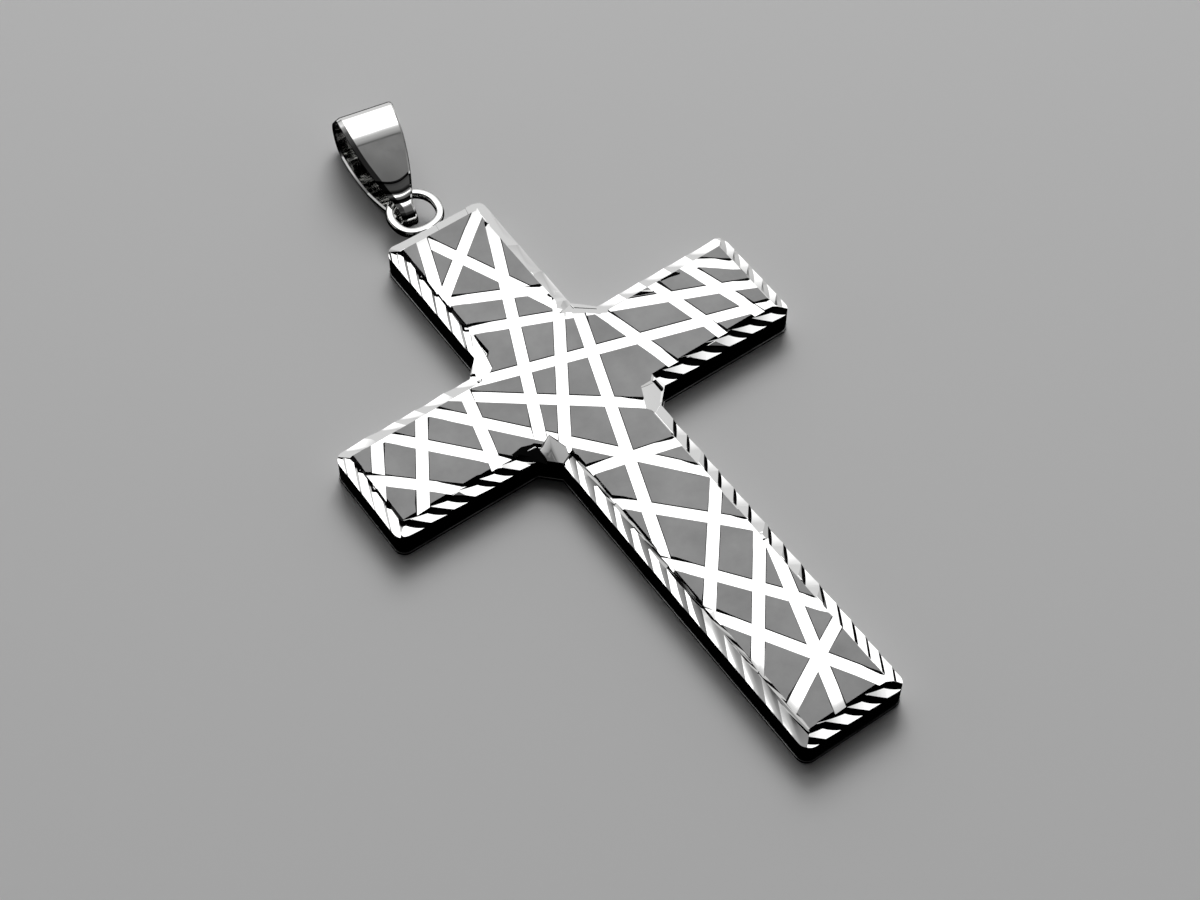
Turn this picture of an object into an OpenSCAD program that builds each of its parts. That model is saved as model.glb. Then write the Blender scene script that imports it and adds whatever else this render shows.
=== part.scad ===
// Cross pendant in polished silver: a solid cross with a diamond-cut rim and a
// criss-cross cut face, a ring soldered to its top end, and a strap bail hooked
// through the ring. Millimetres. The origin lies on the flat back, below the
// point where the arms cross. +Y points to the bail and +Z out of the face.

/* [Cross] */
// Width of each limb
limb_w = 8.5; // [8:0.1:9]
// Span across the two arms
arm_span = 33.8; // [33:0.1:35]
// Reach of the upper limb from the centre
upper_l = 17.3; // [17:0.1:18]
// Reach of the lower limb from the centre
lower_l = 32.7; // [32:0.1:34]
// Height of the upright wall round the cross
wall_h = 2.35; // [2.2:0.05:2.6]
// Full thickness at the face
thick = 2.8; // [2.75:0.05:3]
// Width of the sloping rim, seen from the front
rim_w = 0.87; // [0.8:0.01:0.95]
// Height that the rim gains from the wall to the face
rim_rise = 0.22; // [0.16:0.01:0.28]
// Distance from the outline to the step up to the face
face_inset = 0.94; // [0.9:0.01:1.05]
// Leg of the flat across each inner corner
inner_leg = 1.25; // [0.9:0.05:1.4]
// Radius of the outer corners
corner_r = 0.6; // [0.4:0.05:0.9]
// Chamfer along the edge of the back
back_chamfer = 0.15; // [0.05:0.01:0.25]

/* [Face lines] */
// Width of a bright line
line_w = 0.9; // [0.7:0.05:1.1]
// Depth of a bright line below the matte face
line_depth = 0.07; // [0.04:0.01:0.12]
// Length over which a line dips to the rim at each end
line_ramp = 0.75; // [0.5:0.05:1]
// Angle of that dip
ramp_angle = 15; // [10:1:18]

/* [Rim cuts] */
// Depth of a diamond cut below the rim
cut_depth = 0.18; // [0.1:0.01:0.2]
// Angle between a cut and the square line across the rim
cut_lean = 55; // [50:1:60]
// Slope of the wide side of a cut, from level
cut_wide_angle = 1; // [0:0.5:3]
// Slope of the steep side of a cut, from level
cut_steep_angle = 55; // [50:1:60]

/* [Ring] */
// Thickness of the ring's wire
wire_d = 0.62; // [0.55:0.01:0.68]
// Radius of the ring, to the middle of its wire
ring_r = 1.82; // [1.75:0.01:1.9]
// Sideways place of the ring on the top end
ring_x = -0.2; // [-0.4:0.1:0.2]
// Height of the ring's plane above the back
ring_z = 1.75; // [1.6:0.05:1.85]

/* [Bail] */
// Thickness of the bail's strap
strap_t = 0.38; // [0.3:0.02:0.4]
// Width of the strap at the fold
fold_w = 4.44; // [4.2:0.02:4.6]
// Width of the strap at the narrow end
tip_w = 1.16; // [1:0.02:1.3]
// Turn of the bail on the ring, seen from the front
bail_turn = 11.5; // [10:0.5:13]

/* [Hidden] */
$fn = 96;

// Height at the rim's inner edge, and at the floor of the bright lines
rim_top = wall_h + rim_rise;
line_z = thick - line_depth;
// The face plate starts below the deepest rim cut, inside the body
plate_root = 0.3;
plate_z = wall_h - plate_root;
// Side of the square, turned by 45 degrees, whose sides cross the inner corners
diamond_w = (limb_w + inner_leg) * sqrt(2);
// The upright's middle lies below the crossing
upright_l = upper_l + lower_l;
upright_y = (upper_l - lower_l) / 2;
half_w = limb_w / 2;
half_span = arm_span / 2;
// Room that a cutter takes past what it cuts
past = 0.5;

// Centre lines of the bright lines, charted on the face
// columns: x and y of one end, x and y of the other
face_lines = [
    [-1.8, 16.9, 3.1, 5.8],
    [3.3, 16.1, -3.3, 10.8],
    [-1.5, 16.4, -3.3, 11.5],
    [3.3, 14.3, -4.2, -2.6],
    [-3.4, 10.6, 3.3, 7.35],
    [-3.4, 7.5, 16.2, -1.05],
    [-6.5, 3.8, 15.9, -3.15],
    [-7.3, 3.3, 3.3, -4.95],
    [-9.6, 3.4, 3.2, -11.8],
    [-13.4, 3.5, -7.5, -3.2],
    [-16.1, 1.1, -11.3, -3.4],
    [-13.7, 3.5, -16.2, -0.8],
    [-10.0, 3.5, -14.3, -3.3],
    [-6.5, 3.4, -8.2, -3.2],
    [3.3, 5.8, -3.6, -4.9],
    [4.1, 4.6, -3.4, -16.4],
    [5.25, 3.6, 6.95, -3.5],
    [9.75, 3.4, 11.35, -3.4],
    [12.6, 3.5, 14.6, -3.3],
    [13.0, 3.4, 16.1, 1.0],
    [-3.6, -7.15, 3.4, -8.83],
    [-3.4, -10.25, 3.4, -17.35],
    [3.5, -12.8, -3.3, -21.0],
    [-3.3, -16.2, 3.4, -25.1],
    [-3.4, -21.0, 3.0, -31.7],
    [3.4, -17.8, -3.4, -26.4],
    [3.4, -19.1, -0.7, -31.8],
    [3.4, -26.35, -3.2, -29.75],
];

// Sides of the outline, walked anticlockwise as seen from the front
// columns: angle of the outward direction, distance of the side from the centre,
// the side's two ends along the walk, 1 or -1 at each end for an outer or an
// inner corner, and where each cut leaves the rim, along the walk
rim_sides = [
    [270, lower_l, [-half_w, half_w], [1, 1], [-3.25, -1.6, 0.2, 1.9, 3.55]],
    [0, half_w, [-lower_l, -half_w - inner_leg], [1, -1],
        [-30.6, -29.2, -27.8, -26.2, -24.4, -22.6, -21.2, -18.9, -17.3, -15.7,
         -14.0, -12.3, -10.7, -8.6, -7.1]],
    [270, half_w, [half_w + inner_leg, half_span], [-1, 1], [6.9, 8.9, 10.9, 13.1, 14.9]],
    [0, half_span, [-half_w, half_w], [1, 1], [-2.2, -0.2, 2.1]],
    [90, half_w, [-half_span, -half_w - inner_leg], [1, -1], [-14.6, -12.7, -10.6, -8.4, -6.6]],
    [0, half_w, [half_w + inner_leg, upper_l], [-1, 1], [7.2, 10.2]],
    [90, upper_l, [-half_w, half_w], [1, 1], [-1.4, 1.0]],
    [180, half_w, [-upper_l, -half_w - inner_leg], [1, -1], [-14.7, -13.8, -12.1, -9.8, -7.7, -5.9]],
    [90, half_w, [half_w + inner_leg, half_span], [-1, 1], [6.4, 9.1, 11.0, 12.6, 15.6]],
    [180, half_span, [-half_w, half_w], [1, 1], [-1.3, 0.2, 2.3]],
    [270, half_w, [-half_span, -half_w - inner_leg], [1, -1], [-14.8, -13.1, -11.3, -9.2, -7.7, -5.9]],
    [180, half_w, [half_w + inner_leg, lower_l], [-1, 1],
        [7.1, 9.0, 11.6, 13.6, 15.8, 17.8, 19.7, 21.6, 23.5, 25.4, 27.4, 29.6]],
];

// The strap's front runs down from the fold along one long arc, traced by small ones:
// the centre and radius of the long arc, its lean at the end, the small arcs' radius
front_arc = [6.5, -4.7];
front_r = 9;
front_lean = 17;
trace_r = 0.7;
trace_steps = 3;
// The strap's middle line as a loop of arcs, walked anticlockwise
// columns: place along the bail, height above the table, radius
strap_low = strap_t / 2;
strap_arcs = [
    [-1.45, 1.5, 0.72],
    [2.6, strap_low + 1.8, 1.8],
    [6.6, strap_low + 1.64, 1.64],
    for (i = [0:trace_steps])
        let (lean = front_lean * i / trace_steps)
        [
            front_arc[0] - (front_r - trace_r) * sin(lean),
            front_arc[1] + (front_r - trace_r) * cos(lean),
            trace_r,
        ],
    [0.9, 1.81, 1.2],
];
// Where the bail's zero station lies, over the far side of the ring
bail_at = [-0.34, 21.15];
// The strap has its full width at this station and narrows from there along an arc
full_at = 7.3;
side_r = 23;
// Stations past both ends of the strap, and the steps between them
strap_ends = [-2.5, 9.5];
strap_steps = 16;

// Section of a limb: upright wall, sloping rim and a level top inside it
function rim_section(w) = let (h = w / 2) [
    [-h + back_chamfer, 0],
    [h - back_chamfer, 0],
    [h, back_chamfer],
    [h, wall_h],
    [h - rim_w, rim_top],
    [-h + rim_w, rim_top],
    [-h, wall_h],
    [-h, back_chamfer],
];

// A block with the rim's section along both its sides and its ends
module rimmed_block(w, l) {
    intersection() {
        rotate([90, 0, 0])
            linear_extrude(l + 2 * past, center = true)
                polygon(rim_section(w));
        rotate([90, 0, 90])
            linear_extrude(w + 2 * past, center = true)
                polygon(rim_section(l));
    }
}

// Upright, arms and the turned square that fills the inner corners
module blank() {
    translate([0, upright_y, 0])
        rimmed_block(limb_w, upright_l);
    rimmed_block(arm_span, limb_w);
    rotate(45)
        rimmed_block(diamond_w, diamond_w);
}

// The cross's outline, drawn in by a distance
module outline(inset) {
    translate([0, upright_y])
        square([limb_w - 2 * inset, upright_l - 2 * inset], center = true);
    square([arm_span - 2 * inset, limb_w - 2 * inset], center = true);
    rotate(45)
        square(diamond_w - 2 * inset, center = true);
}

// One diamond cut: a lopsided V that runs out over the wall.
// Its valley lies on the local X axis, and the steep side is towards +Y.
module diamond_cut() {
    run_in = 3.1;
    run_out = 1.2;
    cut_top = 0.6;
    wide = 1.2;
    rotate([90, 0, 90])
        translate([0, 0, -run_in])
            linear_extrude(run_in + run_out)
                polygon([
                    [0, 0],
                    [cut_top / tan(cut_steep_angle), cut_top],
                    [-wide, cut_top],
                    [-wide, wide * tan(cut_wide_angle)],
                ]);
}

// The strip of rim that belongs to one side, mitred at both ends. It runs in a
// little way under the face plate.
module side_zone(dist, ends, turns) {
    under = 0.4;
    inner = face_inset + under;
    translate([0, 0, wall_h - past])
        linear_extrude(2 * past + thick - wall_h)
            polygon([
                [dist + past, ends[0] - turns[0] * past],
                [dist + past, ends[1] + turns[1] * past],
                [dist - inner, ends[1] - turns[1] * inner],
                [dist - inner, ends[0] + turns[0] * inner],
            ]);
}

// All the cuts along one side of the outline
module side_cuts(side) {
    slope = rim_rise / rim_w;
    dip = atan(slope * cos(cut_lean));
    rotate(side[0])
        intersection() {
            side_zone(side[1], side[2], side[3]);
            union() {
                for (s = side[4])
                    translate([side[1], s, wall_h - cut_depth])
                        rotate(cut_lean)
                            rotate([0, dip, 0])
                                diamond_cut();
            }
        }
}

// Length and direction of a bright line
function line_length(l) = norm([l[2] - l[0], l[3] - l[1]]);
function line_angle(l) = atan2(l[3] - l[1], l[2] - l[0]);

// A bright line seen from the front, run out past both its ends
module line_strip(l) {
    translate([l[0], l[1]])
        rotate(line_angle(l))
            translate([-2 * past, -line_w / 2])
                square([line_length(l) + 4 * past, line_w]);
}

// The dip at the start of a line, from its floor down to the rim. It is a little
// wider than the line, so that their sides don't lie in one plane.
module line_dip(x, y, angle) {
    over = 0.2;
    dip_w = line_w + 0.04;
    fall = tan(ramp_angle);
    translate([x, y, line_z])
        rotate(angle)
            translate([0, dip_w / 2, 0])
                rotate([90, 0, 0])
                    linear_extrude(dip_w)
                        polygon([
                            [-over, -(line_ramp + over) * fall],
                            [line_ramp, 0],
                            [line_ramp, past],
                            [-over, past],
                        ]);
}

// The raised face: matte cells, with the bright lines cut between them
module face_plate() {
    difference() {
        difference() {
            translate([0, 0, plate_z])
                linear_extrude(thick - plate_z)
                    outline(face_inset);
            translate([0, 0, line_z])
                linear_extrude(past)
                    for (l = face_lines)
                        line_strip(l);
        }
        for (l = face_lines) {
            line_dip(l[0], l[1], line_angle(l));
            line_dip(l[2], l[3], line_angle(l) + 180);
        }
    }
}

// Rounds one outer corner, given by its place and its two outward signs
module corner_rounding(x, y) {
    sx = sign(x);
    sy = sign(y);
    translate([x - sx * corner_r, y - sy * corner_r, -past])
        mirror([sx < 0 ? 1 : 0, 0, 0])
            mirror([0, sy < 0 ? 1 : 0, 0])
                difference() {
                    cube([corner_r + past, corner_r + past, thick + 2 * past]);
                    translate([0, 0, -past])
                        cylinder(h = thick + 4 * past, r = corner_r);
                }
}

module cross_body() {
    difference() {
        union() {
            difference() {
                blank();
                for (side = rim_sides)
                    side_cuts(side);
            }
            face_plate();
        }
        for (sx = [-1, 1]) {
            corner_rounding(sx * half_w, upper_l);
            corner_rounding(sx * half_w, -lower_l);
            for (sy = [-1, 1])
                corner_rounding(sx * half_span, sy * half_w);
        }
    }
}

// Closed ring of round wire, seated on the top end with a drop of solder
module soldered_ring() {
    bite = 0.03;
    seat = [1.2, 0.75, 0.44];
    ring_y = upper_l - bite + wire_d / 2 + ring_r;
    translate([ring_x, ring_y, ring_z])
        rotate_extrude()
            translate([ring_r, 0])
                circle(d = wire_d);
    translate([ring_x - seat[0] / 2, upper_l - seat[1] / 2, ring_z - seat[2] / 2])
        cube(seat);
}

module cross() {
    color([0.86, 0.87, 0.88])
        union() {
            cross_body();
            soldered_ring();
        }
}

// Points where the tangent from one arc to the next leaves and lands
function tangent_points(a, b, grow) =
    let (
        run = [b[0] - a[0], b[1] - a[1]],
        turn = atan2(run[1], run[0]) - acos((a[2] - b[2]) / norm(run)),
        out = [cos(turn), sin(turn)]
    )
    [
        [a[0], a[1]] + (a[2] + grow) * out,
        [b[0], b[1]] + (b[2] + grow) * out,
    ];

// Area inside the strap's loop, grown or shrunk from its middle line
module strap_area(grow) {
    n = len(strap_arcs);
    polygon([
        for (i = [0:n - 1])
            each tangent_points(strap_arcs[i], strap_arcs[(i + 1) % n], grow)
    ]);
    for (c = strap_arcs)
        translate([c[0], c[1]])
            circle(r = c[2] + grow);
}

// Half the strap's width at a station
function half_strap(a) =
    max(tip_w / 2, fold_w / 2 - side_r + sqrt(side_r ^ 2 - (full_at - a) ^ 2));

// Outline of the bail seen from the front, along local Y
module bail_front() {
    stations = [
        for (i = [0:strap_steps])
            strap_ends[0] + (strap_ends[1] - strap_ends[0]) * i / strap_steps
    ];
    polygon([
        for (a = stations) [half_strap(a), a],
        for (i = [strap_steps:-1:0]) [-half_strap(stations[i]), stations[i]],
    ]);
}

module bail() {
    strap_h = 6;
    color([0.80, 0.81, 0.83])
        translate([bail_at[0], bail_at[1], 0])
            rotate(-bail_turn)
                intersection() {
                    rotate([90, 0, 90])
                        linear_extrude(fold_w + 2 * past, center = true)
                            difference() {
                                strap_area(strap_t / 2);
                                strap_area(-strap_t / 2);
                            }
                    translate([0, 0, -past])
                        linear_extrude(strap_h)
                            bail_front();
                }
}

cross();
bail();
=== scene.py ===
# Cross pendant in polished silver, lying on a pale table under a soft dome of light.
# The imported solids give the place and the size. The pieces made here carry the
# bright cuts, the matte cells and the finish. Tables are in millimetres, and the
# scene is in metres.
import bpy
import bmesh
import math
import random
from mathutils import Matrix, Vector


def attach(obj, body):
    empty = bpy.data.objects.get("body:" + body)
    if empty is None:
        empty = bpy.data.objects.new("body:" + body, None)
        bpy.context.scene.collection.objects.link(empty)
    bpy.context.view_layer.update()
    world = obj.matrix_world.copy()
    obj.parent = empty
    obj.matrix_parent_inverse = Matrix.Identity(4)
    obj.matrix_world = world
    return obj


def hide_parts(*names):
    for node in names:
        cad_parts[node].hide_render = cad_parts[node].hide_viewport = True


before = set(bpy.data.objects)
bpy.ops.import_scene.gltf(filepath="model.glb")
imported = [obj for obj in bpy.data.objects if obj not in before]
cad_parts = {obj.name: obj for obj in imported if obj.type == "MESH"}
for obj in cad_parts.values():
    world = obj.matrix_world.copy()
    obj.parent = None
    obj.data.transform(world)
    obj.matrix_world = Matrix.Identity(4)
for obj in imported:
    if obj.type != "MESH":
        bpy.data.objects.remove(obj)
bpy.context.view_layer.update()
mm = 0.001
print("frame loaded")

# Camera, at the photograph's place and with its lens
cameraSetup = {
    "place": (-58.72, -84.68, 148.80),
    "turn": (33.579, -0.294, -35.606),  # degrees about X, Y and Z
    "lens": 76.1,
    "sensor": 36.0,
    "nearest": 0.01,  # in metres, where the view starts
}


def makeCamera(setup):
    data = bpy.data.cameras.new("photoCamera")
    data.lens = setup["lens"]
    data.sensor_width = setup["sensor"]
    data.clip_start = setup["nearest"]
    camera = bpy.data.objects.new("photoCamera", data)
    camera.location = Vector(setup["place"]) * mm
    camera.rotation_euler = [math.radians(a) for a in setup["turn"]]
    bpy.context.scene.collection.objects.link(camera)
    bpy.context.scene.camera = camera


makeCamera(cameraSetup)

# Light: one soft dome. It is bright overhead and dim low down and on the near side.
# A pale wall stands along the far side, and low pale screens to the left and right of
# the camera. Each table of the dome lists places and the brightness there.
dome = {
    "towards": (0.59, 0.81),  # the bright side, seen from above
    "pull": 0.35,             # how much that side lifts a direction
    "heightRange": (0, 1.1),
    "height": ((0.0, 0.004), (0.50, 0.004), (0.60, 0.03), (0.74, 0.22), (0.80, 0.55),
               (0.88, 0.80), (0.96, 1.6), (1.1, 2.4)),
    # from the near side to the far side, with one fine dark line across
    "depth": ((-1.0, 0.01), (-0.25, 0.012), (-0.1, 0.03), (0.0, 0.05), (0.1, 0.075),
              (0.17, 0.07), (0.184, 0.075), (0.197, 0.14), (0.200, 0.06), (0.210, 0.06),
              (0.222, 0.14), (0.26, 0.22), (0.30, 0.27), (0.33, 0.42), (0.36, 1.0)),
    "wall": ((-1.0, 0.0), (0.68, 0.0), (0.78, 0.82)),
    "wallFoot": (-0.2, -0.1),  # the wall fades out between these heights
    "screen": ((-1.0, 0.0), (-0.36, 0.0), (-0.28, 0.75), (0.30, 0.75), (0.38, 0.0)),
    "screenHeight": ((-1.0, 0.0), (0.10, 0.0), (0.17, 1.0), (0.36, 1.0), (0.43, 0.0)),
}


def shadeRamp(tree, value, stops, low=-1, high=1):
    fit = tree.nodes.new("ShaderNodeMapRange")
    fit.inputs["From Min"].default_value = low
    fit.inputs["From Max"].default_value = high
    ramp = tree.nodes.new("ShaderNodeValToRGB")
    brightest = max(shade for at, shade in stops)
    elements = ramp.color_ramp.elements
    while len(elements) < len(stops):
        elements.new(0.5)
    for element, (at, shade) in zip(elements, stops):
        element.position = (at - low) / (high - low)
        element.color = (shade / brightest,) * 3 + (1,)
    tree.links.new(value, fit.inputs["Value"])
    tree.links.new(fit.outputs["Result"], ramp.inputs[0])
    return mathsOf(tree, "MULTIPLY", ramp.outputs["Color"], brightest)


def mathsOf(tree, operation, one, other):
    node = tree.nodes.new("ShaderNodeMath")
    node.operation = operation
    for socket, value in zip(node.inputs, (one, other)):
        if isinstance(value, float):
            socket.default_value = value
        else:
            tree.links.new(value, socket)
    return node.outputs[0]


def makeDome(setup):
    world = bpy.data.worlds.new("softDome")
    bpy.context.scene.world = world
    world.use_nodes = True
    tree = world.node_tree
    nodes, links = tree.nodes, tree.links
    nodes.clear()
    place = nodes.new("ShaderNodeTexCoord")

    def along(vector):
        aim = nodes.new("ShaderNodeVectorMath")
        aim.operation = "DOT_PRODUCT"
        aim.inputs[1].default_value = vector
        links.new(place.outputs["Generated"], aim.inputs[0])
        return aim.outputs["Value"]

    x, y = setup["towards"]
    pull = setup["pull"]
    raised = along((x * pull, y * pull, 1))
    height = shadeRamp(tree, raised, setup["height"], *setup["heightRange"])
    depth = shadeRamp(tree, along((x, y, 0)), setup["depth"])
    wall = shadeRamp(tree, along((x, y, 0)), setup["wall"])
    foot = nodes.new("ShaderNodeMapRange")
    fadeStart, fadeEnd = setup["wallFoot"]
    foot.inputs["From Min"].default_value = fadeStart
    foot.inputs["From Max"].default_value = fadeEnd
    links.new(along((0, 0, 1)), foot.inputs["Value"])
    wall = mathsOf(tree, "MULTIPLY", wall, foot.outputs["Result"])
    screen = shadeRamp(tree, along((x, y, 0)), setup["screen"])
    screenHeight = shadeRamp(tree, along((0, 0, 1)), setup["screenHeight"])
    low = mathsOf(tree, "MAXIMUM", wall, mathsOf(tree, "MULTIPLY", screen, screenHeight))
    shade = mathsOf(tree, "MAXIMUM", mathsOf(tree, "MULTIPLY", height, depth), low)
    sky = nodes.new("ShaderNodeBackground")
    out = nodes.new("ShaderNodeOutputWorld")
    links.new(shade, sky.inputs["Strength"])
    links.new(sky.outputs[0], out.inputs["Surface"])


makeDome(dome)

# A broad lamp on the bright side, for the table alone: it throws the soft shadow, and
# the metal doesn't mirror it.
tableLamp = {"place": (190, 255, 290), "size": 220, "power": 0.7}


def makeTableLamp(setup):
    data = bpy.data.lights.new("tableLamp", "AREA")
    data.size = setup["size"] * mm
    data.energy = setup["power"]
    lamp = bpy.data.objects.new("tableLamp", data)
    lamp.location = Vector(setup["place"]) * mm
    lamp.rotation_euler = (-lamp.location).to_track_quat("-Z", "Y").to_euler()
    lamp.visible_glossy = False
    bpy.context.scene.collection.objects.link(lamp)


makeTableLamp(tableLamp)
bpy.context.scene.view_settings.view_transform = "Standard"
print("camera and light made")


# Helpers for node materials
def newMaterial(name):
    material = bpy.data.materials.new(name)
    material.use_nodes = True
    tree = material.node_tree
    return material, tree, tree.nodes["Principled BSDF"]


def noiseIn(tree, scale, detail, roughness=0.5):
    place = tree.nodes.new("ShaderNodeTexCoord")
    noise = tree.nodes.new("ShaderNodeTexNoise")
    noise.inputs["Scale"].default_value = scale
    noise.inputs["Detail"].default_value = detail
    noise.inputs["Roughness"].default_value = roughness
    tree.links.new(place.outputs["Object"], noise.inputs["Vector"])
    return noise.outputs["Fac"]


noiseSpan = (0.3, 0.7)  # nearly all of the noise lies between these


def spread(tree, value, low, high):
    ranged = tree.nodes.new("ShaderNodeMapRange")
    ranged.inputs["From Min"].default_value = noiseSpan[0]
    ranged.inputs["From Max"].default_value = noiseSpan[1]
    ranged.inputs["To Min"].default_value = low
    ranged.inputs["To Max"].default_value = high
    tree.links.new(value, ranged.inputs["Value"])
    return ranged.outputs["Result"]


def greyFrom(tree, shader, value):
    grey = tree.nodes.new("ShaderNodeCombineColor")
    for channel in ("Red", "Green", "Blue"):
        tree.links.new(value, grey.inputs[channel])
    tree.links.new(grey.outputs["Color"], shader.inputs["Base Color"])


def bumpFrom(tree, shader, height, strength, distance):
    bump = tree.nodes.new("ShaderNodeBump")
    bump.inputs["Strength"].default_value = strength
    bump.inputs["Distance"].default_value = distance * mm
    tree.links.new(height, bump.inputs["Height"])
    tree.links.new(bump.outputs["Normal"], shader.inputs["Normal"])


# Finishes of the silver. "wipe", "clouds", "waver" and "grain" are how many waves of
# noise fit in a metre, and the depths are in millimetres.
silver = {
    "polished": {"color": (0.90, 0.90, 0.89), "rough": (0.03, 0.09), "wipe": 900,
                 "waver": 420, "waverDepth": 0.006},
    "strap": {"color": (0.92, 0.92, 0.91), "rough": (0.02, 0.06), "wipe": 900,
              "waver": 170, "waverDepth": 0.025},
    "brightCut": {"color": (0.97, 0.97, 0.965), "rough": (0.02, 0.05), "wipe": 900,
                  "waver": 420, "waverDepth": 0.004},
    "matte": {"dark": 0.31, "light": 0.41, "rough": 0.50, "clouds": 260,
              "grain": 14000, "grainDepth": 0.004},
    # painted shade: the sloping edges of the cells are coloured near black, for the shade in the
    # grooves
    "cellEdgeInShade": {"dark": 0.05, "light": 0.16, "rough": (0.22, 0.40), "clouds": 700, "wipe": 3000},
    # painted highlight and shade: the foot's colour runs from near black to near white in clouds,
    # so the bright line along the foot comes and goes
    "foot": {"dark": 0.05, "light": 0.95, "rough": (0.10, 0.25), "clouds": 190, "wipe": 3000},
}


def makePolished(name, look):
    material, tree, shader = newMaterial(name)
    shader.inputs["Base Color"].default_value = look["color"] + (1,)
    shader.inputs["Metallic"].default_value = 1
    wiped = spread(tree, noiseIn(tree, look["wipe"], detail=4), *look["rough"])
    tree.links.new(wiped, shader.inputs["Roughness"])
    waver = noiseIn(tree, look["waver"], detail=2)
    bumpFrom(tree, shader, waver, strength=0.5, distance=look["waverDepth"])
    return material


def makeMatte(name, look):
    material, tree, shader = newMaterial(name)
    shader.inputs["Metallic"].default_value = 1
    shader.inputs["Roughness"].default_value = look["rough"]
    clouds = noiseIn(tree, look["clouds"], detail=5, roughness=0.6)
    greyFrom(tree, shader, spread(tree, clouds, look["dark"], look["light"]))
    grain = noiseIn(tree, look["grain"], detail=2)
    bumpFrom(tree, shader, grain, strength=0.6, distance=look["grainDepth"])
    return material


def makePaintedShadeMetal(name, look):
    # painted shade and highlight: metal coloured dark in clouds that clear here and there, standing
    # in for shade and for a bright line that comes and goes
    material, tree, shader = newMaterial(name)
    shader.inputs["Metallic"].default_value = 1
    clouds = noiseIn(tree, look["clouds"], detail=3)
    greyFrom(tree, shader, spread(tree, clouds, look["dark"], look["light"]))
    wiped = spread(tree, noiseIn(tree, look["wipe"], detail=2), *look["rough"])
    tree.links.new(wiped, shader.inputs["Roughness"])
    return material


finishes = [
    makePolished("polishedSilver", silver["polished"]),
    makePolished("brightCutSilver", silver["brightCut"]),
    makeMatte("matteSilver", silver["matte"]),
    makePaintedShadeMetal("cellEdgePaintedShade", silver["cellEdgeInShade"]),
    makePaintedShadeMetal("footPaintedHighlightAndShade", silver["foot"]),
    makePolished("strapSilver", silver["strap"]),
]
onWall, onCut, onField, onEdgePaintedShade, onFootPaintedHighlightAndShade, onStrap = range(len(finishes))
print("silver finishes made")


# Helpers for meshes. An edge that turns by less than smoothUnder degrees shows smooth.
def pieceFrom(bm, name, smoothUnder=10):
    bmesh.ops.recalc_face_normals(bm, faces=bm.faces)
    mesh = bpy.data.meshes.new(name)
    bm.to_mesh(mesh)
    bm.free()
    for finish in finishes:
        mesh.materials.append(finish)
    setSmooth(mesh, smoothUnder)
    piece = bpy.data.objects.new(name, mesh)
    bpy.context.scene.collection.objects.link(piece)
    return piece


def setSmooth(mesh, under):
    mesh.shade_smooth()
    mesh.set_sharp_from_angle(angle=math.radians(under))


def loft(bm, rings, slots, looped=False):
    # rings hold the same number of points; slots name the finish of each band
    rows = [[bm.verts.new(Vector(p) * mm) for p in ring] for ring in rings]
    count = len(rows[0])
    bands = list(zip(rows, rows[1:] + rows[:1]))
    for k, (low, high) in enumerate(bands if looped else bands[:-1]):
        for i in range(count):
            j = (i + 1) % count
            face = bm.faces.new((low[i], low[j], high[j], high[i]))
            face.material_index = slots(k, i)
    return rows


def capEnds(bm, rows, slots):
    for row, slot in zip((rows[0][::-1], rows[-1]), slots):
        bm.faces.new(row).material_index = slot


def trim(bm, point, away):
    # takes off what lies on the away side of a plane, and closes the cut
    everything = bm.verts[:] + bm.edges[:] + bm.faces[:]
    touching = 1e-8  # in metres
    bmesh.ops.bisect_plane(bm, geom=everything, dist=touching, plane_co=Vector(point) * mm,
                           plane_no=away, clear_outer=True)
    rim = [e for e in bm.edges if e.is_boundary]
    if rim:
        bmesh.ops.holes_fill(bm, edges=rim, sides=0)


def carve(piece, cutters, operation="DIFFERENCE"):
    group = bpy.data.collections.new("carveTools")
    for cutter in cutters:
        bpy.context.scene.collection.objects.unlink(cutter)
        group.objects.link(cutter)
    carving = piece.modifiers.new("carve", "BOOLEAN")
    carving.operation = operation
    carving.solver = "MANIFOLD"
    carving.operand_type = "COLLECTION"
    carving.collection = group
    bpy.context.scene.collection.children.link(group)
    bpy.context.view_layer.update()
    made = piece.evaluated_get(bpy.context.evaluated_depsgraph_get())
    carved = bpy.data.meshes.new_from_object(made)
    piece.modifiers.clear()
    piece.data = carved
    for cutter in cutters:
        bpy.data.objects.remove(cutter)
    bpy.data.collections.remove(group)
    return len(carved.polygons)


# The cross
cross = {
    "limbWidth": 8.5,
    "armSpan": 33.8,
    "upperReach": 17.3,
    "lowerReach": 32.7,
    "wallHeight": 2.35,
    "fullHeight": 2.8,
    "rimWidth": 0.87,
    "rimRise": 0.22,
    "innerLeg": 1.25,       # leg of the flat across an inner corner
    "cornerRadius": 0.85,
    "leastRadius": 0.02,    # left where the inset takes up the corner's radius
    "cornerSteps": 12,
    "backBevel": 0.05,
    "footHeight": 0.19,     # a fine foot that the wall stands back from
    "footReach": 0.05,
    # how the foot rounds over: share of its reach, and rise
    "footRound": ((0.1, 0.022), (0.4, 0.04), (1.0, 0.05)),
    "shoulderFoot": 0.90,   # where the step up to the face starts and ends
    "shoulderTop": 1.06,
    "smoothUnder": 8,
}
rimTop = cross["wallHeight"] + cross["rimRise"]


def aimed(angle):
    return Vector((math.cos(math.radians(angle)), math.sin(math.radians(angle))))


def crossSides(c):
    # outward angle and distance of each side, walked anticlockwise from the bottom end
    reach = {0: c["armSpan"] / 2, 90: c["upperReach"], 180: c["armSpan"] / 2, 270: c["lowerReach"]}
    half = c["limbWidth"] / 2
    flat = (c["limbWidth"] + c["innerLeg"]) / math.sqrt(2)
    sides = []
    for out in (270, 0, 90, 180):
        sides += [(out, reach[out]), (out + 90, half), (out + 45, flat), (out, half)]
    return sides


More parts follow.
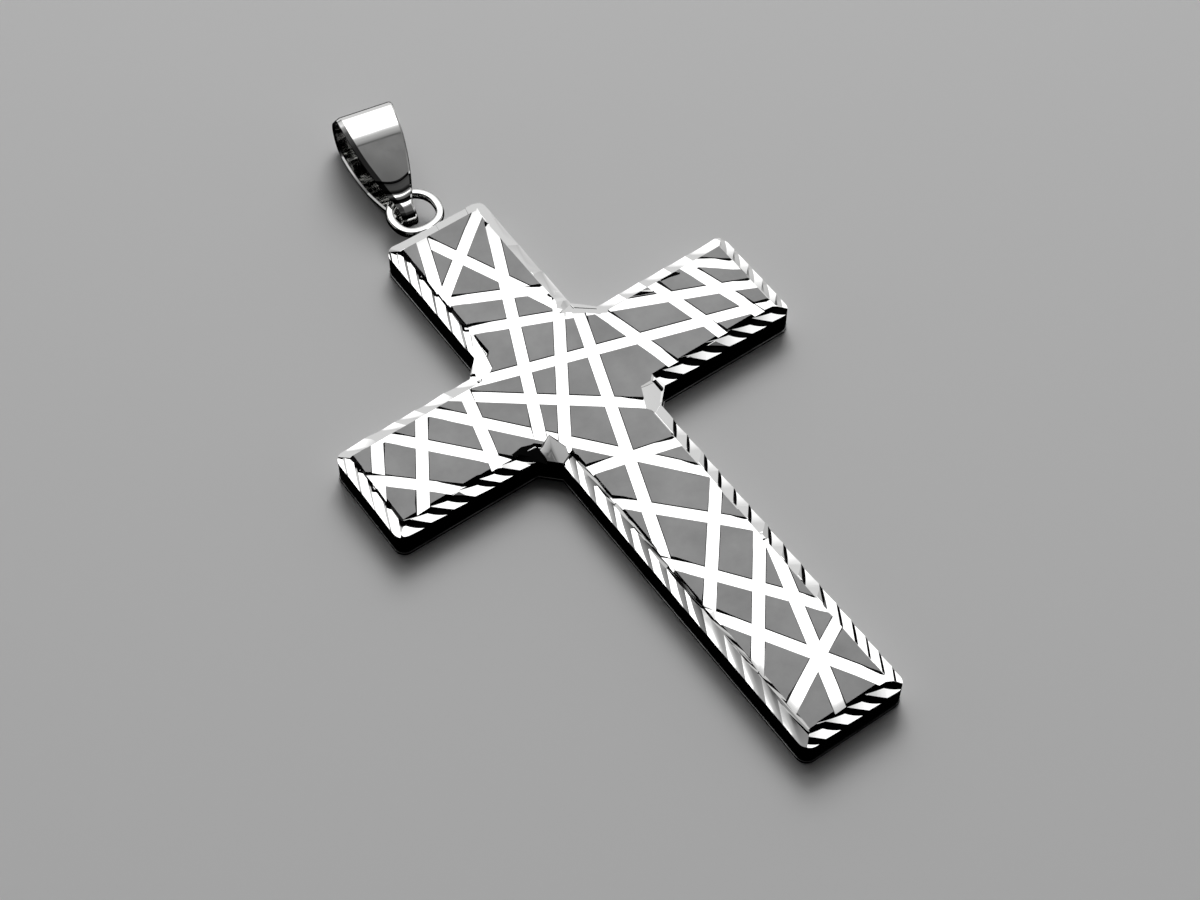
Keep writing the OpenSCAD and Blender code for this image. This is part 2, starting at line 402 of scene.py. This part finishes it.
sideNames = (
    "bottomEnd", "lowerRight", "flatLowerRight", "rightArmLower",
    "rightArmEnd", "rightArmUpper", "flatUpperRight", "upperRight",
    "topEnd", "upperLeft", "flatUpperLeft", "leftArmUpper",
    "leftArmEnd", "leftArmLower", "flatLowerLeft", "lowerLeft",
)
sides = crossSides(cross)


def meeting(one, other, inset):
    # where two sides cross, both drawn in by the inset
    a, b = aimed(one[0]), aimed(other[0])
    p, q = one[1] - inset, other[1] - inset
    cut = a.x * b.y - a.y * b.x
    return Vector(((p * b.y - q * a.y) / cut, (a.x * q - b.x * p) / cut))


def outlineRing(c, inset, z):
    ring = []
    for one, other in zip(sides, sides[1:] + sides[:1]):
        turn = (other[0] - one[0] + 180) % 360 - 180
        if turn < 0:
            corner = meeting(one, other, inset)
            ring.append((corner.x, corner.y, z))
            continue
        radius = max(c["cornerRadius"] - inset, c["leastRadius"])
        centre = meeting(one, other, inset + radius)
        for k in range(c["cornerSteps"] + 1):
            at = centre + radius * aimed(one[0] + turn * k / c["cornerSteps"])
            ring.append((at.x, at.y, z))
    return ring


def makeBlank(c):
    # inset, height, and the finish of the band above
    levels = [(c["backBevel"], 0.0, onWall), (0.0, c["backBevel"], onWall),
              (0.0, c["footHeight"], onFootPaintedHighlightAndShade)]
    # the bands where the foot rounds over carry the painted highlight and shade
    for share, rise in c["footRound"]:
        finish = onFootPaintedHighlightAndShade if share < 1 else onWall
        levels.append((c["footReach"] * share, c["footHeight"] + rise, finish))
    levels += [(c["footReach"], c["wallHeight"], onCut), (c["rimWidth"], rimTop, onCut),
               (c["shoulderFoot"], rimTop, onCut), (c["shoulderTop"], c["fullHeight"], onCut)]
    bm = bmesh.new()
    rings = [outlineRing(c, inset, z) for inset, z, finish in levels]
    rows = loft(bm, rings, lambda k, i: levels[k][2])
    capEnds(bm, rows, (onWall, onField))
    return pieceFrom(bm, "crossBody")


# Bright lines, charted on the face as the two ends of each centre line
faceLines = (
    (-1.8, 16.9, 3.1, 5.8), (3.3, 16.1, -3.3, 10.8), (-1.5, 16.4, -3.3, 11.5),
    (3.3, 14.3, -4.2, -2.6), (-3.4, 10.6, 3.3, 7.35), (-3.4, 7.5, 16.2, -1.05),
    (-6.5, 3.8, 15.9, -3.15), (-7.3, 3.3, 3.3, -4.95), (-9.6, 3.4, 3.2, -11.8),
    (-13.4, 3.5, -7.5, -3.2), (-16.1, 1.1, -11.3, -3.4), (-13.7, 3.5, -16.2, -0.8),
    (-10.0, 3.5, -14.3, -3.3), (-6.5, 3.4, -8.2, -3.2), (3.3, 5.8, -3.6, -4.9),
    (4.1, 4.6, -3.4, -16.4), (5.25, 3.6, 6.95, -3.5), (9.75, 3.4, 11.35, -3.4),
    (12.6, 3.5, 14.6, -3.3), (13.0, 3.4, 16.1, 1.0), (-3.6, -7.15, 3.4, -8.83),
    (-3.4, -10.25, 3.4, -17.35), (3.5, -12.8, -3.3, -21.0), (-3.3, -16.2, 3.4, -25.1),
    (-3.4, -21.0, 3.0, -31.7), (3.4, -17.8, -3.4, -26.4), (3.4, -19.1, -0.7, -31.8),
    (3.4, -26.35, -3.2, -29.75),
)
brightLine = {
    "width": 0.86,
    "depth": 0.07,
    "edge": 0.05,     # how far the cell's dark edge slopes back
    "ramp": 1.8,      # length of the dip to the rim at each end
    "rampAngle": 5.2,
    "over": 0.55,     # run past both ends
    "lid": 0.3,       # height of the tool above the face
}


def lineCutter(line, look):
    start, end = Vector(line[:2]), Vector(line[2:])
    along = (end - start).normalized()
    across = Vector((-along.y, along.x))
    length = (end - start).length
    floor = cross["fullHeight"] - look["depth"]
    fall = math.tan(math.radians(look["rampAngle"]))
    lid = cross["fullHeight"] + look["lid"]
    half = look["width"] / 2
    over, ramp = look["over"], look["ramp"]
    stations = ((-over, ramp + over), (ramp, 0), (length - ramp, 0), (length + over, ramp + over))
    rings = []
    for u, drop in stations:
        z = floor - drop * fall
        lidHalf = half + look["edge"] * (lid - z) / (cross["fullHeight"] - z)
        at = start + along * u
        rings.append([(*(at + across * v), h)
                      for v, h in ((-half, z), (half, z), (lidHalf, lid), (-lidHalf, lid))])
    bm = bmesh.new()
    # the sides of each line tool leave the cells' sloping edges, coloured dark as painted shade
    rows = loft(bm, rings, lambda k, i: onCut if i == 0 else onEdgePaintedShade)
    capEnds(bm, rows, (onCut, onCut))
    return pieceFrom(bm, "lineCutter")


# Diamond cuts across the rim: for each side, the kind of cut, and where the cuts
# leave the rim along the walk
rimCuts = (
    ("bottomEnd", "lens", (-2.8, -1.0, 0.8, 2.3, 4.2)),
    ("lowerRight", "tick", (-31.2, -29.8, -28.4, -27.0, -25.4, -23.6)),
    ("lowerRight", "keen", (-21.6, -19.6, -17.9, -15.7, -14.0, -12.3, -10.7, -8.6, -7.1)),
    ("rightArmLower", "lens", (6.9, 8.9, 10.9, 13.1, 14.9, 16.7)),
    ("rightArmEnd", "petal", (-2.6, -0.9, 0.8, 2.5, 4.2)),
    ("rightArmUpper", "gentle", (-14.6, -12.7, -10.6, -8.4, -6.6)),
    ("upperRight", "faint", (6.6, 9.4, 12.6, 15.6)),
    ("topEnd", "faint", (-2.2, 0.6, 3.2)),
    ("upperLeft", "rib", (-16.2, -14.9, -13.7, -12.1, -10.2, -8.3, -6.5)),
    ("leftArmUpper", "scoop", (6.4, 9.1, 11.0, 12.6, 15.6)),
    ("leftArmEnd", "rib", (-2.3, -0.6, 1.3, 3.2, 4.9)),
    ("leftArmLower", "lens", (-14.5, -12.6, -10.9, -8.7, -7.15, -5.25)),
    ("lowerLeft", "rope", (5.5, 7.1, 9.0, 11.6, 13.6, 15.8, 17.8, 19.7, 21.6)),
    ("lowerLeft", "softRope", (23.5, 25.4, 27.4, 29.6, 31.6)),
)
# Kinds of cut, with angles in degrees. The columns are the lean from straight across the
# rim, the slopes that follow one another up its back, the run of each, the slope of its
# wide side, its depth, how far the valley bows out, its slope down to the wall, the radius
# of the tool, how far its inner end strays, and the slope of the shoulder left against
# the face.
cutColumns = ("lean", "slopes", "run", "wide", "depth", "bow", "dip", "tool", "ragged", "shoulder")
cutKinds = {
    "keen": (55, (55,), 0.14, 1, 0.23, 0.08, 7.5, 14, 0.06, 62),
    "lens": (57, (55,), 0.14, 1, 0.30, 0.20, 7.8, 14, 0.06, 62),
    "rib": (68, (50,), 0.1, 1, 0.20, 0.05, 3, 60, 0.12, 74),
    "tick": (60, (48,), 0.1, 3, 0.18, 0.03, 6, 60, 0.05, 66),
    "rope": (70, (22,), 0.2, -1, 0.27, 0.09, 3, 60, 0.12, 74),
    "softRope": (70, (11, 14, 16), 0.12, -1, 0.25, 0.09, 3.5, 60, 0.12, 76),
    "scoop": (55, (4, 9, 14, 19), 0.2, 1, 0.18, 0.0, 8.2, 9, 0.03, 62),
    "petal": (60, (22,), 0.2, 1, 0.22, 0.15, 3, 14, 0.05, 62),
    "gentle": (55, (2, 5, 8, 11), 0.25, 1, 0.18, 0.0, 7, 9, 0.0, 62),
    "faint": (74, (19,), 0.15, -12, 0.07, 0.1, 1, 60, 0.0, 62),
}
diamondCut = {
    "wideRun": 1.35,     # how far the wide side reaches from the valley
    "runIn": 3.4,        # length of the tool inside the outline, and outside
    "runOut": 1.6,
    "lid": 0.7,          # height of the tool over the valley
    "steps": 16,
    "bowReach": 1.3,     # half the bow's length, against half the cut's run on the rim
    "stopGap": 0.03,     # from the foot of the step to the inner end of a cut
    # how much the cuts differ from one another
    "seed": 7,
    "leanStray": (-2, 2),
    "depthStray": (-0.02, 0.02),
    "wideStray": (-1, 1.5),
    "shoulderStray": (-8, 8),
}


def cutBack(kind, lid):
    # the back of a cut in section: distance from the valley and height
    points = [(0.0, 0.0)]
    for slope in kind["slopes"]:
        run, rise = points[-1]
        points.append((run + kind["run"], rise + kind["run"] * math.tan(math.radians(slope))))
    run, rise = points[-1]
    points.append((run + (lid - rise) / math.tan(math.radians(kind["slopes"][-1])), lid))
    return points


def rimCutter(sideAt, place, kind, look, draw):
    angle, distance = sides[sideAt]
    outward, walk = aimed(angle), aimed(angle + 90)
    lean = math.radians(kind["lean"] + draw.uniform(*look["leanStray"]))
    along = outward * math.cos(lean) + walk * math.sin(lean)
    across = walk * math.cos(lean) - outward * math.sin(lean)
    origin = outward * distance + walk * place
    base = cross["wallHeight"] - kind["depth"] + draw.uniform(*look["depthStray"])
    dip = math.tan(math.radians(kind["dip"]))
    wide = math.tan(math.radians(kind["wide"] + draw.uniform(*look["wideStray"])))
    middle = -0.5 * cross["rimWidth"] / math.cos(lean)  # where the cut is halfway over the rim
    reach = -middle * look["bowReach"]
    back = cutBack(kind, look["lid"])
    rings = []
    for k in range(look["steps"] + 1):
        u = -look["runIn"] + (look["runIn"] + look["runOut"]) * k / look["steps"]
        floor = base - dip * u + (u - middle) ** 2 / (2 * kind["tool"])
        bow = kind["bow"] * max(0.0, 1 - ((u - middle) / reach) ** 2)
        profile = [(-look["wideRun"], look["wideRun"] * wide), (-bow, bow * wide)] + back[1:]
        profile.append((-look["wideRun"], look["lid"]))
        at = origin + along * u
        rings.append([(*(at + across * v), floor + h) for v, h in profile])
    bm = bmesh.new()
    rows = loft(bm, rings, lambda j, i: onCut)
    capEnds(bm, rows, (onCut, onCut))
    bmesh.ops.recalc_face_normals(bm, faces=bm.faces)
    # mitred at both ends of the side
    for neighbour, sense in ((sides[sideAt - 1], -1), (sides[(sideAt + 1) % len(sides)], 1)):
        corner = meeting(sides[sideAt], neighbour, 0)
        turn = (neighbour[0] - angle + 180) % 360 - 180
        mitre = aimed(angle + turn / 2 + 90) * sense
        trim(bm, (corner.x, corner.y, 0), (mitre.x, mitre.y, 0))
    # and stopped by a shoulder against the face
    stop = outward * (distance - cross["shoulderFoot"] - look["stopGap"]
                      - draw.uniform(0, kind["ragged"]))
    slope = math.radians(kind["shoulder"] + draw.uniform(*look["shoulderStray"]))
    trim(bm, (stop.x, stop.y, rimTop),
         (-outward.x * math.sin(slope), -outward.y * math.sin(slope), -math.cos(slope)))
    return pieceFrom(bm, "rimCutter")


# Flat facets, most of them at the inner corners: outline, lean, the direction that it
# falls to, and the height at the first point. Angles are in degrees.
flatFacets = (
    (((-3.79, -3.18), (-5.05, -3.8), (-5.0, -4.6), (-4.75, -5.1)), 8, 215, 2.68),
    (((-3.79, -3.18), (-4.75, -5.0), (-4.6, -5.5), (-4.05, -5.55), (-3.6, -5.4),
      (-3.35, -4.6)), 9, 235, 2.68),
    (((-6.9, -3.1), (-6.0, -2.95), (-4.95, -3.3), (-4.95, -4.6), (-5.3, -5.1), (-5.7, -4.5),
      (-6.3, -3.95)), 30, 262, 2.62),
    (((-3.72, 8.01), (-3.2, 7.64), (-4.23, 5.35), (-4.6, 3.87), (-5.08, 4.42), (-4.74, 4.87),
      (-4.6, 6.61)), 6, 180, 2.36),
    (((-3.18, 7.41), (-3.41, 5.42), (-3.73, 3.82), (-4.16, 3.56), (-4.6, 3.87),
      (-4.23, 5.35)), 6, 200, 2.52),
    (((-6.09, 4.4), (-5.14, 4.4), (-3.98, 3.58), (-4.89, 3.49), (-5.73, 3.76)), 7, 110, 2.2),
    (((7.58, 3.4), (8.2, 3.51), (9.6, 2.74), (9.44, 2.52), (8.45, 2.89)), 32, 260, 2.7),
    (((10.44, 3.03), (10.54, 3.29), (10.99, 3.42), (11.63, 3.3), (12.07, 2.92), (11.92, 2.76),
      (11.19, 2.95)), 32, 262, 2.6),
    (((3.8, -3.6), (3.0, -5.4), (3.4, -5.9), (4.4, -5.3), (5.2, -4.4), (5.1, -3.6)), 18, 315, 2.60),
    (((2.8, 5.2), (4.1, 4.9), (3.9, 7.1)), 12, 20, 2.62),
    (((2.85, 5.05), (5.7, 3.1), (6.1, 3.4), (3.7, 5.3)), 12, 45, 2.60),
)
facetLid = 1  # height of the tool over the facet


def facetCutter(facet):
    outline, lean, direction, high = facet
    fall = math.tan(math.radians(lean))
    start = Vector(outline[0])
    floor = [(x, y, high - fall * (Vector((x, y)) - start).dot(aimed(direction)))
             for x, y in outline]
    lid = [(x, y, z + facetLid) for x, y, z in floor]
    bm = bmesh.new()
    rows = loft(bm, [floor, lid], lambda k, i: onCut)
    capEnds(bm, rows, (onCut, onCut))
    return pieceFrom(bm, "facetCutter")


def makeCross():
    draw = random.Random(diamondCut["seed"])
    body = makeBlank(cross)
    cutters = [lineCutter(line, brightLine) for line in faceLines]
    for sideName, kindName, places in rimCuts:
        sideAt = sideNames.index(sideName)
        kind = dict(zip(cutColumns, cutKinds[kindName]))
        for place in places:
            cutters.append(rimCutter(sideAt, place, kind, diamondCut, draw))
    cutters += [facetCutter(facet) for facet in flatFacets]
    print("cross cutters", len(cutters))
    faces = carve(body, cutters)
    setSmooth(body.data, cross["smoothUnder"])
    print("cross carved, faces", faces)
    return body


crossBody = makeCross()
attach(crossBody, "pendant")
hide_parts("cross")


# Ring soldered to the top end
ring = {
    "wire": 0.62,
    "radius": 1.82,
    "place": (-0.2, 19.40, 1.75),
    "widen": 0.22,      # how much the half at the cross is drawn out, to a D
    "squareness": 4,    # 2 is a round wire, more is flatter on top
    "around": 120,      # sections round the ring, and points in each
    "wireSides": 28,
    "solder": (0.85, 0.36, 0.30),     # half sizes of the drop
    "solderAt": (-0.2, 17.36, 1.75),
    "solderSteps": (32, 16),
    "smoothUnder": 35,
}


def makeRing(look):
    centre = Vector(look["place"])
    around = look["around"]
    power = 2 / look["squareness"]
    section = []
    for j in range(look["wireSides"]):
        turn = 2 * math.pi * j / look["wireSides"]
        x, z = math.cos(turn), math.sin(turn)
        section.append((math.copysign(abs(x) ** power, x), math.copysign(abs(z) ** power, z)))
    rings = []
    path = []
    for k in range(around):
        turn = 2 * math.pi * k / around
        low = max(0.0, -math.sin(turn))
        x = look["radius"] * math.cos(turn) * (1 + look["widen"] * low * low)
        path.append(centre + Vector((x, look["radius"] * math.sin(turn), 0)))
    for k in range(around):
        ahead = (path[(k + 1) % around] - path[k - 1]).normalized()
        out = Vector((ahead.y, -ahead.x, 0))
        rings.append([path[k] + look["wire"] / 2 * (out * x + Vector((0, 0, z)))
                      for x, z in section])
    bm = bmesh.new()
    loft(bm, rings, lambda k, i: onWall, looped=True)
    wire = pieceFrom(bm, "ring")
    blob = bmesh.new()
    across, up = look["solderSteps"]
    bmesh.ops.create_uvsphere(blob, u_segments=across, v_segments=up, radius=1)
    for v in blob.verts:
        at = [look["solderAt"][i] + v.co[i] * look["solder"][i] for i in range(3)]
        v.co = Vector(at) * mm
    drop = pieceFrom(blob, "solder")
    carve(wire, [drop], "UNION")
    setSmooth(wire.data, look["smoothUnder"])
    return wire


ringPiece = makeRing(ring)
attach(ringPiece, "pendant")
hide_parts("cross")
print("ring made")

# Bail: one strap folded round a loop of arcs (place along the bail, height, radius)
bail = {
    "thickness": 0.38,
    "foldWidth": 4.44,
    "tipWidth": 1.16,
    "arcs": ((-1.45, 1.5, 0.72), (2.6, 1.99, 1.8), (6.6, 1.83, 1.64), (6.5, 3.6, 0.7),
             (6.5, -4.7, 9), (0.9, 1.81, 1.2)),
    "fullAt": 7.3,           # the strap narrows from here to the tip, along an arc
    "sideRadius": 23,
    # dents across the front near the tip: station and lift
    "dents": ((-2.2, 0.0), (-1.85, -0.09), (-1.6, -0.10), (-1.3, -0.12), (-0.98, -0.19),
              (-0.74, -0.11), (-0.56, -0.11), (-0.3, -0.17), (-0.08, -0.12), (0.5, -0.08),
              (0.6, 0.0)),
    "dentCurve": 0.35,       # how strongly they curve up to the edges
    "curveFrom": 3.0,        # and where that starts, and over what length it grows
    "curveGrows": 2,
    "place": (-0.34, 21.15),
    "turn": -11.5,
    "bevel": (0.34, 0.11),   # broad bevel along the left edge: width and depth
    "bevelShare": 0.6,       # the most of half the strap that it may take
    "brightEdge": (0.16, 0.047),   # fine bevel along the right edge
    "innerEdge": (0.15, 0.055),    # and inside along the left edge
    "round": 0.05,           # the other edges are only eased
    "strips": 8,             # across the front
    "arcStep": 3,            # degrees between stations on an arc
    "widest": 0.1,           # longest gap between two stations
    "smoothUnder": 12,
}


def strapLoop(look):
    # points of the strap's middle line, with the outward direction at each
    arcs = look["arcs"]
    turns = []
    for a, b in zip(arcs, arcs[1:] + arcs[:1]):
        run = Vector((b[0] - a[0], b[1] - a[1]))
        inside = max(-1.0, min(1.0, (a[2] - b[2]) / run.length))
        lead = math.degrees(math.atan2(run.y, run.x) - math.acos(inside))
        turns.append(lead % 360)
    loop = []
    for i, (at, height, radius) in enumerate(arcs):
        first, last = turns[i - 1], turns[i]
        sweep = (last - first) % 360
        arcLength = math.radians(sweep) * radius
        steps = max(2, round(sweep / look["arcStep"]), round(arcLength / look["widest"]))
        for k in range(steps + 1):
            out = aimed(first + sweep * k / steps)
            loop.append((Vector((at, height)) + out * radius, out))
        after = arcs[(i + 1) % len(arcs)]
        out = aimed(last)
        start = loop[-1][0]
        end = Vector(after[:2]) + out * after[2]
        pieces = max(1, round((end - start).length / look["widest"]))
        for k in range(1, pieces):
            loop.append((start.lerp(end, k / pieces), out))
    return loop


def strapHalf(look, a):
    narrowing = math.sqrt(look["sideRadius"] ** 2 - (look["fullAt"] - a) ** 2)
    return max(look["tipWidth"] / 2, look["foldWidth"] / 2 - look["sideRadius"] + narrowing)


def dentAt(look, a):
    dents = look["dents"]
    for (low, lift), (high, after) in zip(dents, dents[1:]):
        if low <= a <= high:
            return lift + (after - lift) * (a - low) / (high - low)
    return 0.0


def makeBail(look):
    half = look["thickness"] / 2
    broad, deep = look["bevel"]  # width and depth of each bevel
    fine, low = look["brightEdge"]
    strip, drop = look["innerEdge"]
    ease = look["round"]
    spin = math.radians(look["turn"])
    rings = []
    for at, out in strapLoop(look):
        w = strapHalf(look, at.x)
        bevel = min(broad, look["bevelShare"] * w)
        top = half + max(0.0, out.y) * dentAt(look, at.x)
        section = [(-w + bevel + (2 * w - bevel - fine) * k / look["strips"], top)
                   for k in range(look["strips"] + 1)]
        section += [(w - ease, top - low), (w, top - low - ease), (w, -half + ease),
                    (w - ease, -half), (-w + strip, -half), (-w, -half + drop), (-w, top - deep)]
        ring = []
        grown = (look["curveFrom"] - at.x) / look["curveGrows"]
        curve = look["dentCurve"] * max(0.0, out.y) * min(1.0, max(0.0, grown))
        for x, lift in section:
            slide = curve * x * x
            x *= strapHalf(look, at.x + slide) / w
            y, z = at + out * lift + Vector((out.y, -out.x)) * slide
            ring.append((look["place"][0] + x * math.cos(spin) - y * math.sin(spin),
                         look["place"][1] + x * math.sin(spin) + y * math.cos(spin), z))
        rings.append(ring)
    bm = bmesh.new()
    loft(bm, rings, lambda k, i: onStrap, looped=True)
    return pieceFrom(bm, "bailStrap", look["smoothUnder"])


bailStrap = makeBail(bail)
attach(bailStrap, "bail")
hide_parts("bail")
print("bail made")

# Pale table
table = {"size": 900, "color": (0.78, 0.78, 0.78), "rough": 0.75}


def makeTable(look):
    bm = bmesh.new()
    bmesh.ops.create_grid(bm, x_segments=1, y_segments=1, size=look["size"] / 2 * mm)
    mesh = bpy.data.meshes.new("table")
    bm.to_mesh(mesh)
    bm.free()
    top = bpy.data.objects.new("table", mesh)
    bpy.context.scene.collection.objects.link(top)
    material, tree, shader = newMaterial("palePaper")
    shader.inputs["Base Color"].default_value = look["color"] + (1,)
    shader.inputs["Roughness"].default_value = look["rough"]
    mesh.materials.append(material)
    top.visible_glossy = False  # the metal is set off against the dim lower dome


makeTable(table)
print("table made")
